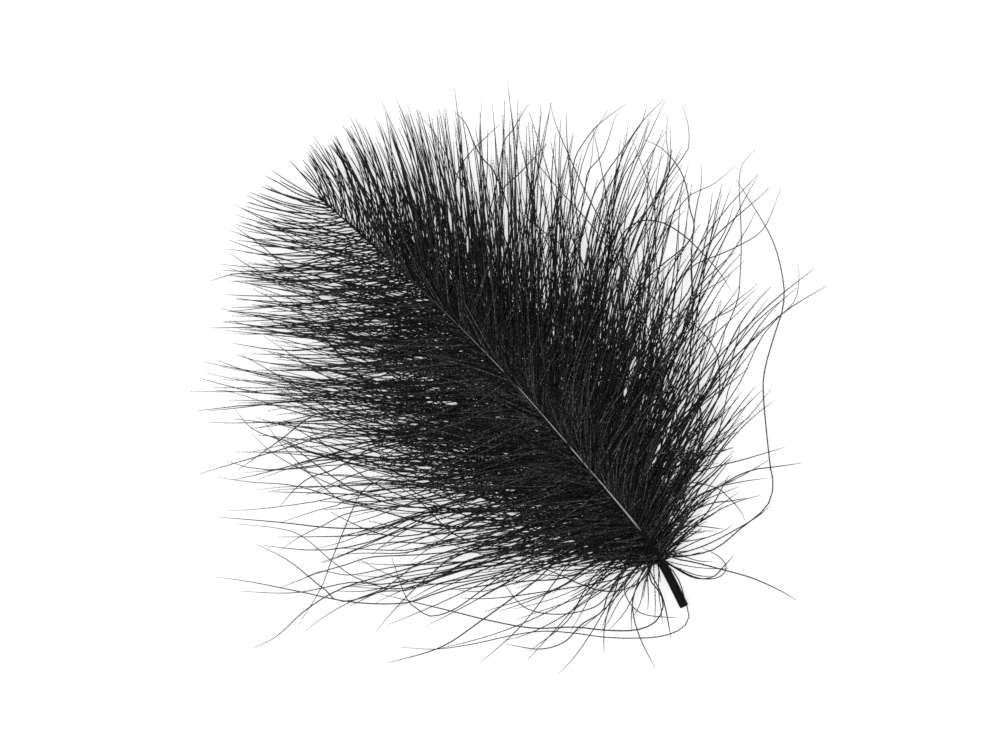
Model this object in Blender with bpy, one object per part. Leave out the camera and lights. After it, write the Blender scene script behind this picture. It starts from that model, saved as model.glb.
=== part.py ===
"""A black cul de canard feather lying on a flat surface.

The feather grew as one piece, so it is one solid: a thin curved shaft whose down is combed into
long pointed locks, with a few thin stray locks that lie loose beyond the others. +Y runs along
the shaft towards the feather's thin end, +Z points up from the surface that it lies on, and the
origin is on that surface under the middle of the feather.
"""

import math

import bmesh
import bpy
from mathutils import Vector

MM = 0.001

# The middle of the feather's box, measured from the place where the down starts on the quill.
MIDDLE_MM = Vector((-1.35, 18.25, 0.0))

# The shaft's centre line from its cut end to its thin end: x, y, and height above the surface.
SHAFT_ROUTE_MM = (
    (-1.80, -8.50, 0.43),
    (-0.62, -4.00, 0.75),
    (0.02, 0.50, 1.75),
    (0.30, 10.00, 2.75),
    (0.38, 21.00, 2.90),
    (-0.30, 33.00, 2.30),
    (-1.75, 46.50, 0.90),
)
QUILL_RADIUS_MM = 0.46
SHAFT_TIP_RADIUS_MM = 0.14
SHAFT_TAPER = 1.25
SHAFT_SIDES = 8
SHAFT_RINGS = 22

# Share of the shaft, from its cut end, where the lowest down grows.
BARE_QUILL = 0.09

# Each vane from its base to its tip: place along the vane, length of the down in mm, and its
# angle from the shaft in degrees where it leaves the shaft and where it ends.
LEFT_VANE = (
    (0.00, 8.0, 150, 140),
    (0.03, 14.0, 118, 96),
    (0.08, 28.0, 92, 50),
    (0.15, 36.0, 71, 39),
    (0.25, 34.0, 56, 36),
    (0.40, 31.0, 48, 42),
    (0.60, 25.0, 46, 44),
    (0.80, 17.0, 42, 42),
    (0.92, 10.2, 36, 30),
    (1.00, 5.2, 14, 4),
)
RIGHT_VANE = (
    (0.00, 9.0, 134, 104),
    (0.03, 17.0, 92, 62),
    (0.08, 29.0, 60, 56),
    (0.15, 38.0, 46, 56),
    (0.25, 36.5, 40, 53),
    (0.40, 32.0, 38, 49),
    (0.60, 24.5, 35, 32),
    (0.80, 15.6, 30, 17),
    (0.92, 9.8, 26, 10),
    (1.00, 5.2, 8, 0),
)

# The stray locks from inside the shaft to their tips: x, y, and the height of their underside.
STRAY_LOCKS_MM = (
    (
        (0.2, 3.3, 1.6),
        (-4.8, 6.8, 1.1),
        (-10.5, 12.4, 0.6),
        (-15.5, 17.1, 0.3),
        (-22.7, 26.4, 0.1),
        (-28.1, 32.4, 0.0),
    ),
    (
        (-0.5, -1.6, 1.0),
        (-8.4, 2.8, 0.8),
        (-15.3, 7.0, 0.4),
        (-22.5, 10.4, 0.2),
        (-26.3, 14.0, 0.1),
        (-29.6, 18.5, 0.0),
        (-34.7, 24.8, 0.0),
    ),
    (
        (-0.2, 0.3, 1.4),
        (-7.0, 4.4, 0.9),
        (-14.1, 9.8, 0.5),
        (-21.0, 13.3, 0.3),
        (-26.0, 15.6, 0.3),
        (-30.1, 16.4, 0.1),
        (-36.6, 17.1, 0.0),
    ),
    (
        (-0.4, -0.3, 1.2),
        (-7.4, 2.9, 0.8),
        (-14.2, 3.6, 0.3),
        (-20.2, 4.2, 0.1),
        (-27.7, 7.0, 0.0),
    ),
    (
        (-0.1, -2.7, 0.8),
        (0.9, -4.6, 0.6),
        (2.3, -6.8, 0.3),
        (5.1, -10.9, 0.1),
        (7.0, -15.5, 0.0),
    ),
    (
        (-0.3, -2.3, 0.9),
        (1.2, -4.5, 0.7),
        (4.2, -6.2, 0.4),
        (7.7, -6.4, 0.2),
        (10.9, -6.5, 0.1),
        (14.0, -3.7, 0.0),
        (18.8, 2.8, 0.0),
        (25.5, 7.2, 0.1),
        (28.9, 12.3, 0.3),
        (30.3, 17.2, 0.3),
    ),
    (
        (0.2, 4.3, 1.7),
        (9.3, 7.6, 1.1),
        (16.9, 9.2, 0.6),
        (24.5, 12.6, 0.2),
        (30.6, 19.5, 0.0),
        (33.9, 20.8, 0.0),
    ),
    (
        (0.3, 6.5, 2.0),
        (7.3, 10.7, 1.4),
        (13.4, 13.6, 0.9),
        (20.8, 16.2, 0.4),
        (27.0, 14.6, 0.0),
        (33.3, 16.2, 0.0),
    ),
)
STRAY_POINTS_A_SPAN = 3
STRAY_HALF_WIDTH_MM = 0.34
STRAY_HEIGHT_MM = 0.42

LOCKS_A_SIDE = 36
LOCK_POINTS = 7
LOCK_LENGTHS = (1.0, 0.86, 0.96, 0.82, 0.91)
# The full width is for down this long, and shorter down grows in finer locks.
FULL_LOCK_LENGTH_MM = 12.0
LOCK_HALF_WIDTH_MM = 1.30
LOCK_HEIGHT_MM = 0.90
# Share of its length where a lock is fullest, and its width and height at the root and the tip
# as shares of the fullest.
LOCK_FULLEST_AT = 0.32
LOCK_ROOT_WIDTH = 0.62
LOCK_TIP_WIDTH = 0.07
LOCK_ROOT_HEIGHT = 0.45
LOCK_TIP_HEIGHT = 0.28
LOCK_ROOT_SINKS_MM = 0.30

# Share of its length at which a lock reaches the surface, and how far above it neighbours lie.
LOCK_LIES_FROM = 0.62
LOCK_LAYERS_MM = (0.0, 0.20, 0.40, 0.12, 0.32)

# How finely the shaft and the vanes' edges are walked to find even distances along them.
SHAFT_STEPS = 400
EDGE_STEPS = 160

DOWN_BLACK = (0.012, 0.012, 0.013, 1.0)
DOWN_ROUGHNESS = 0.62


def clear_scene():
    for obj in list(bpy.data.objects):
        bpy.data.objects.remove(obj)


def feather_black():
    material = bpy.data.materials.new("feather_black")
    material.use_nodes = True
    surface = material.node_tree.nodes["Principled BSDF"]
    surface.inputs["Base Color"].default_value = DOWN_BLACK
    surface.inputs["Roughness"].default_value = DOWN_ROUGHNESS
    surface.inputs["Metallic"].default_value = 0.0
    return material


def eased(x):
    """Zero up to 0, one from 1 on, and a smooth rise between."""
    x = min(max(x, 0.0), 1.0)
    return x * x * (3 - 2 * x)


def between(rows, place):
    """The values of a table of rows at a place between two of them, eased from row to row."""
    for low, high in zip(rows, rows[1:]):
        if place <= high[0]:
            share = eased((place - low[0]) / (high[0] - low[0]))
            return [a + (b - a) * share for a, b in zip(low[1:], high[1:])]
    return list(rows[-1][1:])


def stops(points, shares):
    """Where the given shares of a line's length fall, counted in its points."""
    walked = [0.0]
    for near, far in zip(points, points[1:]):
        walked.append(walked[-1] + (far - near).length)
    found = []
    step = 0
    for share in shares:
        wanted = share * walked[-1]
        while step < len(points) - 2 and walked[step + 1] < wanted:
            step += 1
        found.append(step + (wanted - walked[step]) / (walked[step + 1] - walked[step]))
    return found


def route_point(route, share):
    """A point on the smooth curve that runs through the points of a route."""
    points = [Vector(p) for p in route]
    points.insert(0, 2 * points[0] - points[1])
    points.append(2 * points[-1] - points[-2])
    spans = len(points) - 3
    span = min(int(share * spans), spans - 1)
    t = share * spans - span
    a, b, c, d = points[span : span + 4]
    return 0.5 * (
        2 * b
        + (c - a) * t
        + (2 * a - 5 * b + 4 * c - d) * t * t
        + (3 * b - a - 3 * c + d) * t * t * t
    )


def walk_route(route, steps):
    """A route's smooth curve as points at even distances along it."""
    rough = [route_point(route, i / steps) for i in range(steps + 1)]
    even = stops(rough, [i / steps for i in range(steps + 1)])
    return [route_point(route, stop / steps) for stop in even]


def shaft_place(walk, along):
    """The shaft's centre and direction at a share of its length."""
    step = round(along * SHAFT_STEPS)
    ahead = walk[min(step + 2, SHAFT_STEPS)] - walk[max(step - 2, 0)]
    return walk[step].copy(), ahead.normalized()


def shaft_radius(along):
    """The quill keeps its thickness up to the down, and the shaft thins from there to its tip."""
    thinning = max(0.0, along - BARE_QUILL) / (1 - BARE_QUILL)
    return SHAFT_TIP_RADIUS_MM + (QUILL_RADIUS_MM - SHAFT_TIP_RADIUS_MM) * (1 - thinning) ** SHAFT_TAPER


def skin(mesh, rings):
    """Sides between rings of points, and a cap over the first ring and the last."""
    for near, far in zip(rings, rings[1:]):
        for corner in range(len(near)):
            after = (corner + 1) % len(near)
            mesh.faces.new((near[corner], near[after], far[after], far[corner]))
    mesh.faces.new(reversed(rings[0]))
    mesh.faces.new(rings[-1])


def model_shaft(mesh, walk):
    """A tapered tube along the shaft's centre line, flat underneath and closed at both ends."""
    rings = []
    for i in range(SHAFT_RINGS):
        along = i / (SHAFT_RINGS - 1)
        centre, ahead = shaft_place(walk, along)
        side = ahead.cross(Vector((0, 0, 1))).normalized()
        up = side.cross(ahead)
        ring = []
        for corner in range(SHAFT_SIDES):
            turn = 2 * math.pi * (corner + 0.5) / SHAFT_SIDES
            offset = side * math.cos(turn) + up * math.sin(turn)
            ring.append(mesh.verts.new(centre + offset * shaft_radius(along)))
        rings.append(ring)
    skin(mesh, rings)


def lock_line(walk, vane, side, place, length_share):
    """Points along the middle of a lock's underside, from inside the shaft to its tip."""
    length, leaves, ends = between(vane, place)
    point, ahead = shaft_place(walk, BARE_QUILL + (1 - BARE_QUILL) * place)
    heading = math.atan2(ahead.y, ahead.x)
    root_height = point.z
    step = length * length_share / (LOCK_POINTS - 1)
    line = [point]
    for i in range(1, LOCK_POINTS):
        t = (i - 0.5) / (LOCK_POINTS - 1)
        angle = heading - side * math.radians(leaves + (ends - leaves) * t)
        line.append(line[-1] + step * Vector((math.cos(angle), math.sin(angle), 0)))
    for i, point in enumerate(line):
        t = i / (LOCK_POINTS - 1)
        point.z = root_height * (1 - eased(t / LOCK_LIES_FROM))
    return line


def lock_places(walk, vane, side):
    """Places along a vane that set the tips of its locks at even distances along its edge."""
    tips = [lock_line(walk, vane, side, i / EDGE_STEPS, 1.0)[-1] for i in range(EDGE_STEPS + 1)]
    shares = [(number + 0.5) / LOCKS_A_SIDE for number in range(LOCKS_A_SIDE)]
    return [stop / EDGE_STEPS for stop in stops(tips, shares)]


def fullness(t, at_root, at_tip):
    """A lock's width or height at a share of its length, as a share of its fullest."""
    if t < LOCK_FULLEST_AT:
        return at_root + (1 - at_root) * eased(t / LOCK_FULLEST_AT)
    thinning = (t - LOCK_FULLEST_AT) / (1 - LOCK_FULLEST_AT)
    return at_tip + (1 - at_tip) * (1 - thinning * thinning)


def model_lock(mesh, line, half_width, height, lift):
    """A long pointed lock: a flat underside with a low ridge above it, tapering to its tip."""
    last = len(line) - 1
    rings = []
    for i, middle in enumerate(line):
        t = i / last
        ahead = line[min(i + 1, last)] - line[max(i - 1, 0)]
        across = Vector((ahead.y, -ahead.x, 0)).normalized()
        half = half_width * fullness(t, LOCK_ROOT_WIDTH, LOCK_TIP_WIDTH)
        leaving = eased(t / LOCK_FULLEST_AT)
        base = middle + Vector((0, 0, lift * leaving - LOCK_ROOT_SINKS_MM * (1 - leaving)))
        ridge = base + Vector((0, 0, height * fullness(t, LOCK_ROOT_HEIGHT, LOCK_TIP_HEIGHT)))
        corners = (base + across * half, ridge, base - across * half)
        rings.append([mesh.verts.new(corner) for corner in corners])
    skin(mesh, rings)


def comb_vane(mesh, walk, vane, side):
    """The locks of one vane, side by side from its base to its tip."""
    for number, place in enumerate(lock_places(walk, vane, side)):
        line = lock_line(walk, vane, side, place, LOCK_LENGTHS[number % len(LOCK_LENGTHS)])
        fineness = min(1.0, between(vane, place)[0] / FULL_LOCK_LENGTH_MM)
        lift = LOCK_LAYERS_MM[number % len(LOCK_LAYERS_MM)]
        model_lock(mesh, line, LOCK_HALF_WIDTH_MM * fineness, LOCK_HEIGHT_MM * fineness, lift)


def lay_strays(mesh):
    """The thin stray locks, each along its own route over the surface."""
    for route in STRAY_LOCKS_MM:
        line = walk_route(route, STRAY_POINTS_A_SPAN * (len(route) - 1))
        for point in line:
            point.z = max(point.z, 0.0)
        model_lock(mesh, line, STRAY_HALF_WIDTH_MM, STRAY_HEIGHT_MM, 0.0)


def object_of(name, mesh, material):
    bmesh.ops.recalc_face_normals(mesh, faces=mesh.faces)
    bmesh.ops.translate(mesh, verts=mesh.verts, vec=-MIDDLE_MM)
    bmesh.ops.scale(mesh, verts=mesh.verts, vec=(MM, MM, MM))
    data = bpy.data.meshes.new(name)
    mesh.to_mesh(data)
    mesh.free()
    data.materials.append(material)
    obj = bpy.data.objects.new(name, data)
    bpy.context.scene.collection.objects.link(obj)
    return obj


def outer_skin(obj):
    """The object's shape as its modifiers make it, with the pockets sealed between locks filled."""
    evaluated = obj.evaluated_get(bpy.context.evaluated_depsgraph_get())
    mesh = bmesh.new()
    mesh.from_mesh(evaluated.to_mesh())
    evaluated.to_mesh_clear()
    shells = []
    waiting = set(mesh.faces)
    while waiting:
        shell = set()
        reached = [waiting.pop()]
        while reached:
            face = reached.pop()
            shell.add(face)
            beside = [other for edge in face.edges for other in edge.link_faces if other in waiting]
            waiting.difference_update(beside)
            reached.extend(beside)
        shells.append(shell)
    shells.sort(key=len)
    pockets = [face for shell in shells[:-1] for face in shell]
    bmesh.ops.delete(mesh, geom=pockets, context="FACES")
    return mesh


def build_feather():
    material = feather_black()
    walk = walk_route(SHAFT_ROUTE_MM, SHAFT_STEPS)
    shaft = bmesh.new()
    model_shaft(shaft, walk)
    feather = object_of("feather", shaft, material)
    locks = bmesh.new()
    comb_vane(locks, walk, LEFT_VANE, -1)
    comb_vane(locks, walk, RIGHT_VANE, 1)
    lay_strays(locks)
    down = object_of("down_guide", locks, material)
    down.hide_render = True
    down.display_type = "WIRE"
    joined = feather.modifiers.new("down", "BOOLEAN")
    joined.operation = "UNION"
    joined.object = down
    joined.solver = "EXACT"
    joined.use_self = True
    solid = outer_skin(feather)
    feather.modifiers.clear()
    solid.to_mesh(feather.data)
    solid.free()


clear_scene()
build_feather()
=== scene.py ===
"""The looks of a black cul de canard feather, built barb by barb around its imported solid.

Sizes are in millimetres in the plan that the solid is drawn in: +Y runs along the shaft from the
place where the down starts, +X points towards the right vane and +Z up from the surface. A
finished piece is moved to the solid's middle and scaled to metres. Loose barbs and the camera are
placed by points read off the photograph, in its pixels.
"""

import math

import bmesh
import bpy
import numpy as np
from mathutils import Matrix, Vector


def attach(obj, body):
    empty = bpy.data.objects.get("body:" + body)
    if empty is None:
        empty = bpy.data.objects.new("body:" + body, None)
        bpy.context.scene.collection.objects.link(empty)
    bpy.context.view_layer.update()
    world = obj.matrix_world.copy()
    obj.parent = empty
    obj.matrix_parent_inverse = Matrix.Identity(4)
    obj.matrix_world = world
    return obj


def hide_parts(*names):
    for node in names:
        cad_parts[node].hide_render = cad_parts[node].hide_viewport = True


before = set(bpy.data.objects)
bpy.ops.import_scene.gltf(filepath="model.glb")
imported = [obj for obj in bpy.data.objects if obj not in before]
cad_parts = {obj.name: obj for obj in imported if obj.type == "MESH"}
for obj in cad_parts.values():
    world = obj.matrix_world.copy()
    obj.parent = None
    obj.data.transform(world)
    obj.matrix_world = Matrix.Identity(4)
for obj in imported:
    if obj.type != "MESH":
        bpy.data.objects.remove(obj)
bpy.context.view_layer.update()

MM = 0.001
MIDDLE_MM = np.array((-1.35, 18.25, 0.0))

# The shaft's centre line, its thickness and the two vanes, as the solid has them.
SHAFT_ROUTE_MM = (
    (-1.80, -8.50, 0.43),
    (-0.62, -4.00, 0.75),
    (0.02, 0.50, 1.75),
    (0.30, 10.00, 2.75),
    (0.38, 21.00, 2.90),
    (-0.30, 33.00, 2.30),
    (-1.75, 46.50, 0.90),
)
SHAFT_LENGTH_MM = 55.3
QUILL_RADIUS_MM = 0.46
SHAFT_TIP_RADIUS_MM = 0.07
SHAFT_TAPER = 1.15
BARE_QUILL = 0.09
VANE_LENGTH_MM = SHAFT_LENGTH_MM * (1 - BARE_QUILL)

# Place along the vane, length of the down in mm, its angle from the shaft in degrees where it
# leaves the shaft and where it ends, how many barbs grow on a mm of the shaft, the share of the
# length that the shortest of them miss, and how rare the short ones are.
LEFT_VANE = (
    (0.00, 11.0, 68, 52, 9.0, 0.80, 0.80),
    (0.03, 16.5, 66, 49, 13.0, 0.80, 0.80),
    (0.07, 24.0, 63, 42, 14.5, 0.80, 0.80),
    (0.13, 32.0, 59, 35, 19.5, 0.80, 0.85),
    (0.25, 36.6, 55, 35, 20.5, 0.70, 1.10),
    (0.40, 33.8, 50, 40, 15.2, 0.62, 1.20),
    (0.60, 25.3, 50, 38, 9.3, 0.52, 1.30),
    (0.80, 17.6, 52, 31, 6.6, 0.44, 1.60),
    (0.92, 11.2, 50, 22, 4.8, 0.36, 1.80),
    (0.98, 7.0, 34, 14, 4.4, 0.32, 1.80),
    (1.00, 4.6, 8, 2, 4.0, 0.32, 1.80),
)
RIGHT_VANE = (
    (0.00, 11.5, 72, 80, 6.0, 0.80, 0.80),
    (0.03, 21.5, 66, 74, 12.5, 0.80, 0.80),
    (0.07, 30.0, 60, 70, 24.5, 0.80, 0.85),
    (0.13, 37.2, 51, 60, 32.0, 0.78, 0.92),
    (0.25, 37.6, 42.5, 52.5, 25.5, 0.74, 1.00),
    (0.40, 31.6, 39, 43, 17.5, 0.68, 1.05),
    (0.60, 24.0, 42, 31, 14.4, 0.54, 1.40),
    (0.80, 15.0, 46, 16, 9.2, 0.42, 1.70),
    (0.92, 9.2, 44, 9, 5.4, 0.36, 1.80),
    (0.98, 5.9, 28, 6, 4.4, 0.32, 1.80),
    (1.00, 4.6, 8, 2, 4.0, 0.32, 1.80),
)

# The barbs lie in layers over each other. Each layer's share of them, how far it is turned at the
# shaft and at its tips in degrees, and how high it is lifted in mm. The turns are smaller near the
# base, where they start at a share and are full from a place on.
LAYERS = (
    (0.44, 0.0, 0.0, 0.45),
    (0.30, 7.0, 5.0, 0.20),
    (0.26, -16.0, -8.0, 0.75),
)
TURN_AT_BASE = 0.3
TURN_FULL_FROM = 0.3

# Points of a barb's walk and of the smooth curve through them, a barb's thickness, and how far a
# root may move from its even place as a share of the gap.
BARB_POINTS = 13
SMOOTH_POINTS = 17
BARB_RADIUS_MM = 0.064
UNEVENNESS = 0.35

# The down is wild towards the feather's base and combed towards its tip. Where each of the two
# fades, as places along the vane.
WILD_FADES = (0.10, 0.55)
COMBED_GROWS = (0.38, 0.73)

# Three numbers each: what holds everywhere, what wildness adds and what combing adds. They are for
# how far single barbs stray, how much locks bend and lean, the share of barbs that cross the
# others, their drift and their waves in degrees, how they wander from point to point, their
# thickness and the length of their barbules.
STRAYS_DEG = (2.4, 3.36, -1.08)
LOCKS_BEND = (1.0, 0.9, -0.9)
CROSSING_SHARE = (0.05, 0.12, 0.0)
DRIFT_DEG = (3.5, 17.0, 0.0)
WAVE_DEG = (3.0, 11.0, 0.0)
WANDER_DEG = (1.4, 1.26, -0.63)
THICKNESS = (1.0, 0.15, 0.05)
FUZZ = (1.0, 0.0, -0.35)

# The range of single barbs' thickness and of the length of their barbules, beside the usual ones.
BARBS_VARY = (0.8, 1.2)
FUZZ_VARIES = (0.7, 1.3)

# Neighbours lean together into locks: how many a layer has, and each one's bend, reach and lean.
LOCKS_A_LAYER = 50
LOCK_BEND_DEG = 1.2
LOCK_REACH = (0.92, 1.03)
LOCK_LEAN_DEG = (-1.0, 2.5)

# A crossing barb is turned by up to some degrees and is shorter. Drift and waves stay within so
# many deviations, and a barb has this many waves along the vane's length. Waves and wandering grow
# from nothing at the shaft, these many times as fast as the barb.
CROSSING_DEG = 16.0
MOST_CROSSING_DEG = 24.0
CROSSING_REACH = 0.85
MOST_DEVIATIONS = 1.8
WAVES = (0.5, 2.0)
WAVES_GROW = 3
WANDER_GROWS = 2

# Barbs turned further than the first angle are shorter, up to a share at the second.
ASTRAY_DEG = (15.0, 30.0)
ASTRAY_MISSES = 0.5

# Heights: where a barb leaves the shaft's side, how low and high it rests, where along the vane's
# length it has come down, and how far it arches up in mm. Locks are lifted more near the base.
ROOT_SPREAD = 0.7
RESTS_MM = (0.06, 0.75)
LANDS = (0.45, 1.15)
ARCH_MM = 0.5
ARCH_ENDS = 0.9
LIFT_SHARE = 0.5
LIFT_MORE_UNTIL = 0.25

# The lowest that a barb's centre lies, and the height above which down keeps a share of its loft.
LOWEST_MM = 0.11
SHAFT_TOP_MM = 3.1
LOFT_SHARE = 0.5

# The short thick barbs under the others: their layers, the share of the vane's length that they
# reach, their thickness beside the others', and where along the vane they thin out.
UNDERDOWN_LAYERS = (
    (0.26, 0.0, 0.0, 0.1),
    (0.32, 26.0, 10.0, 0.1),
    (0.32, -26.0, -10.0, 0.1),
)
UNDERDOWN_REACH = 0.54
UNDERDOWN_THICKNESS = 1.25
UNDERDOWN_THINS = (0.55, 0.98)

# A barb gets thinner evenly by a share of its radius, and by another share close to its tip. Its
# greys are a little darker than its barbules'.
BARB_TAPER = 0.16
BARB_TIP_TAPER = 0.72
BARB_TIP_POWER = 10
BARB_TONE = 0.85

# Barbules grow in pairs: the gap between pairs, where in its gap a pair may stand, their least and
# greatest length and opening, their radius with its range, and how far they roll round the barb.
# Pairs gather towards the barb's tip by a power, and the last one stands just before it. There they
# are thinner by a share, and their length, which is the first share at the shaft, has fallen by the
# second. Their tips stay above the surface.
BARBULE_GAP_MM = 0.38
BARBULE_STANDS = (0.2, 0.8)
BARBULE_MM = (0.15, 0.36)
BARBULE_OPENING_DEG = (18, 52)
BARBULE_RADIUS_MM = 0.044
BARBULES_VARY = (0.7, 1.3)
BARBULE_ROLL_DEG = 38
BARBULES_GATHER = 0.85
LAST_BARBULE = 0.995
BARBULES_THIN = 0.4
BARBULES_SHORTEN = (1.40, 0.90)
BARBULE_TIP_MM = 0.02

# Single barbs that spread like a fan round the foot of each vane: place in the fan, length in mm
# and the angle from the shaft at the foot and at the tip.
LEFT_FAN = (
    (0.00, 33.0, 82, 48),
    (0.20, 28.0, 90, 60),
    (0.45, 18.0, 98, 84),
    (0.70, 12.0, 112, 100),
    (0.88, 8.5, 134, 120),
    (1.00, 6.5, 158, 146),
)
RIGHT_FAN = (
    (0.00, 19.0, 86, 84),
    (0.30, 13.0, 94, 86),
    (0.60, 8.5, 108, 98),
    (0.85, 6.5, 132, 122),
    (1.00, 9.0, 146, 132),
)
LEFT_FAN_BARBS = 56
RIGHT_FAN_BARBS = 38

# How strongly a fan's barbs gather at its first rows. How far up the shaft the first ones grow as a
# share of its length, the power that draws them there and how uneven they stand. Their shares of
# the rows' length. Then the deviation of their angle, of their bend and of their waves in degrees,
# with the most of the last two, and how many waves they have. Last how low and high they rest,
# where they have come down, how far they arch, where they leave the shaft's side, and the range of
# their thickness and of their barbules.
FAN_GATHERS = 1.35
FAN_SPREAD = 0.15
FAN_SPREAD_POWER = 0.7
FAN_UNEVENNESS = 0.02
FAN_REACH = (0.42, 1.0)
FAN_STRAYS_DEG = 6
FAN_BEND_DEG = (18, 22)
FAN_WAVE_DEG = (9, 11)
FAN_WAVES = (0.5, 1.4)
FAN_RESTS_MM = (0.08, 0.9)
FAN_LANDS = (0.4, 1.0)
FAN_ARCH_MM = 0.8
FAN_ROOTS = (-0.6, 0.4)
FAN_THICKNESS = (0.75, 1.1)
FAN_FUZZ = (0.5, 0.9)

# The photograph's scale, the pixel where the down starts, and the shaft's turn in the picture.
PIXEL_MM = 0.10
DOWN_STARTS_PX = (641.0, 531.0)
PLAN_TURN = math.radians(41.8)
PHOTO_MIDDLE_PX = (500.0, 375.0)
PHOTO_WIDTH_PX = 1000

# Points of the shaft's line beyond the first, fine steps between two points of a route, and the
# start of the random draws.
SHAFT_STEPS = 400
STEPS_A_SPAN = 24
SEED = 7


# Curves and tables


def eased(x):
    """Zero up to 0, one from 1 on, and a smooth rise between."""
    x = np.clip(x, 0.0, 1.0)
    return x * x * (3 - 2 * x)


def within(values, most):
    """Values held between a number and its negative."""
    return np.clip(values, -most, most)


def rises(place, span):
    """Zero before a span of places, one after it, and a smooth rise along it."""
    return eased((place - span[0]) / (span[1] - span[0]))


def between(rows, place):
    """The columns of a table at many places, eased from row to row."""
    rows = np.array(rows, float)
    row = np.clip(np.searchsorted(rows[:, 0], place, side="right") - 1, 0, len(rows) - 2)
    low, high = rows[row], rows[row + 1]
    share = eased((place - low[:, 0]) / (high[:, 0] - low[:, 0]))[:, None]
    return (low + (high - low) * share)[:, 1:].T


def curve_through(points, share):
    """A smooth curve through points, at shares that grow by 1 from each point to the next."""
    before = 2 * points[..., :1, :] - points[..., 1:2, :]
    after = 2 * points[..., -1:, :] - points[..., -2:-1, :]
    points = np.concatenate((before, points, after), axis=-2)
    span = np.minimum(share.astype(int), points.shape[-2] - 4)
    t = (share - span)[:, None]
    a, b, c, d = (points[..., span + i, :] for i in range(4))
    bend = (2 * a - 5 * b + 4 * c - d) * t**2 + (3 * b - a - 3 * c + d) * t**3
    return 0.5 * (2 * b + (c - a) * t + bend)


def smooth_line(route, count):
    """A smooth curve through the points of a route, as points at even distances along it."""
    points = np.array(route, float)
    spans = len(points) - 1
    curve = curve_through(points, np.linspace(0, spans, spans * STEPS_A_SPAN + 1))
    walked = np.concatenate(([0.0], np.cumsum(np.linalg.norm(np.diff(curve, axis=0), axis=1))))
    even = np.linspace(0, walked[-1], count)
    return np.stack([np.interp(even, walked, column) for column in curve.T], axis=1)


SHAFT_LINE = smooth_line(SHAFT_ROUTE_MM, SHAFT_STEPS + 1)


def shaft_at(along):
    """The shaft's centre, its heading in the plan and its radius at many shares of its length."""
    step = np.clip(along, 0, 1) * SHAFT_STEPS
    stops = np.arange(SHAFT_STEPS + 1)
    centre = np.stack([np.interp(step, stops, column) for column in SHAFT_LINE.T], axis=-1)
    slope = np.gradient(SHAFT_LINE[:, :2], axis=0)
    heading = np.interp(step, stops, np.arctan2(slope[:, 1], slope[:, 0]))
    thinning = np.clip((along - BARE_QUILL) / (1 - BARE_QUILL), 0, 1)
    thicker = (QUILL_RADIUS_MM - SHAFT_TIP_RADIUS_MM) * (1 - thinning) ** SHAFT_TAPER
    return centre, heading, SHAFT_TIP_RADIUS_MM + thicker


def from_photo(x, y):
    """The point of the plan, in mm, that a pixel of the photograph shows."""
    across = (x - DOWN_STARTS_PX[0]) * PIXEL_MM
    up = (DOWN_STARTS_PX[1] - y) * PIXEL_MM
    return (
        across * math.cos(PLAN_TURN) + up * math.sin(PLAN_TURN),
        up * math.cos(PLAN_TURN) - across * math.sin(PLAN_TURN),
    )


# Barbs as centre lines


class Barbs:
    """Centre lines of barbs, with each one's thickness, tone and length of barbules."""

    def __init__(self, lines, thickness, tone, fuzz):
        self.lines = lines
        self.thickness = thickness
        self.tone = tone
        self.fuzz = fuzz

    def some(self, chosen):
        kept = (self.lines, self.thickness, self.tone, self.fuzz)
        return Barbs(*(column[chosen] for column in kept))


def walked_plan(root, heading, side, length, share, angle):
    """The plan of barbs that walk out from the shaft, turning by the angles given along them."""
    count, steps = angle.shape
    turn = heading[:, None] - side * np.radians(angle)
    step = (length * share / steps)[:, None]
    walk = np.cumsum(np.stack((np.cos(turn) * step, np.sin(turn) * step), axis=2), axis=1)
    return np.concatenate((np.zeros((count, 1, 2)), walk), axis=1) + root[:, None, :2]


def without_kinks(lines):
    """Centre lines with more points on a smooth curve through them, kept off the surface."""
    lines = curve_through(lines, np.linspace(0, BARB_POINTS - 1, SMOOTH_POINTS))
    lines[:, :, 2] = np.maximum(lines[:, :, 2], LOWEST_MM)
    return lines


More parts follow.
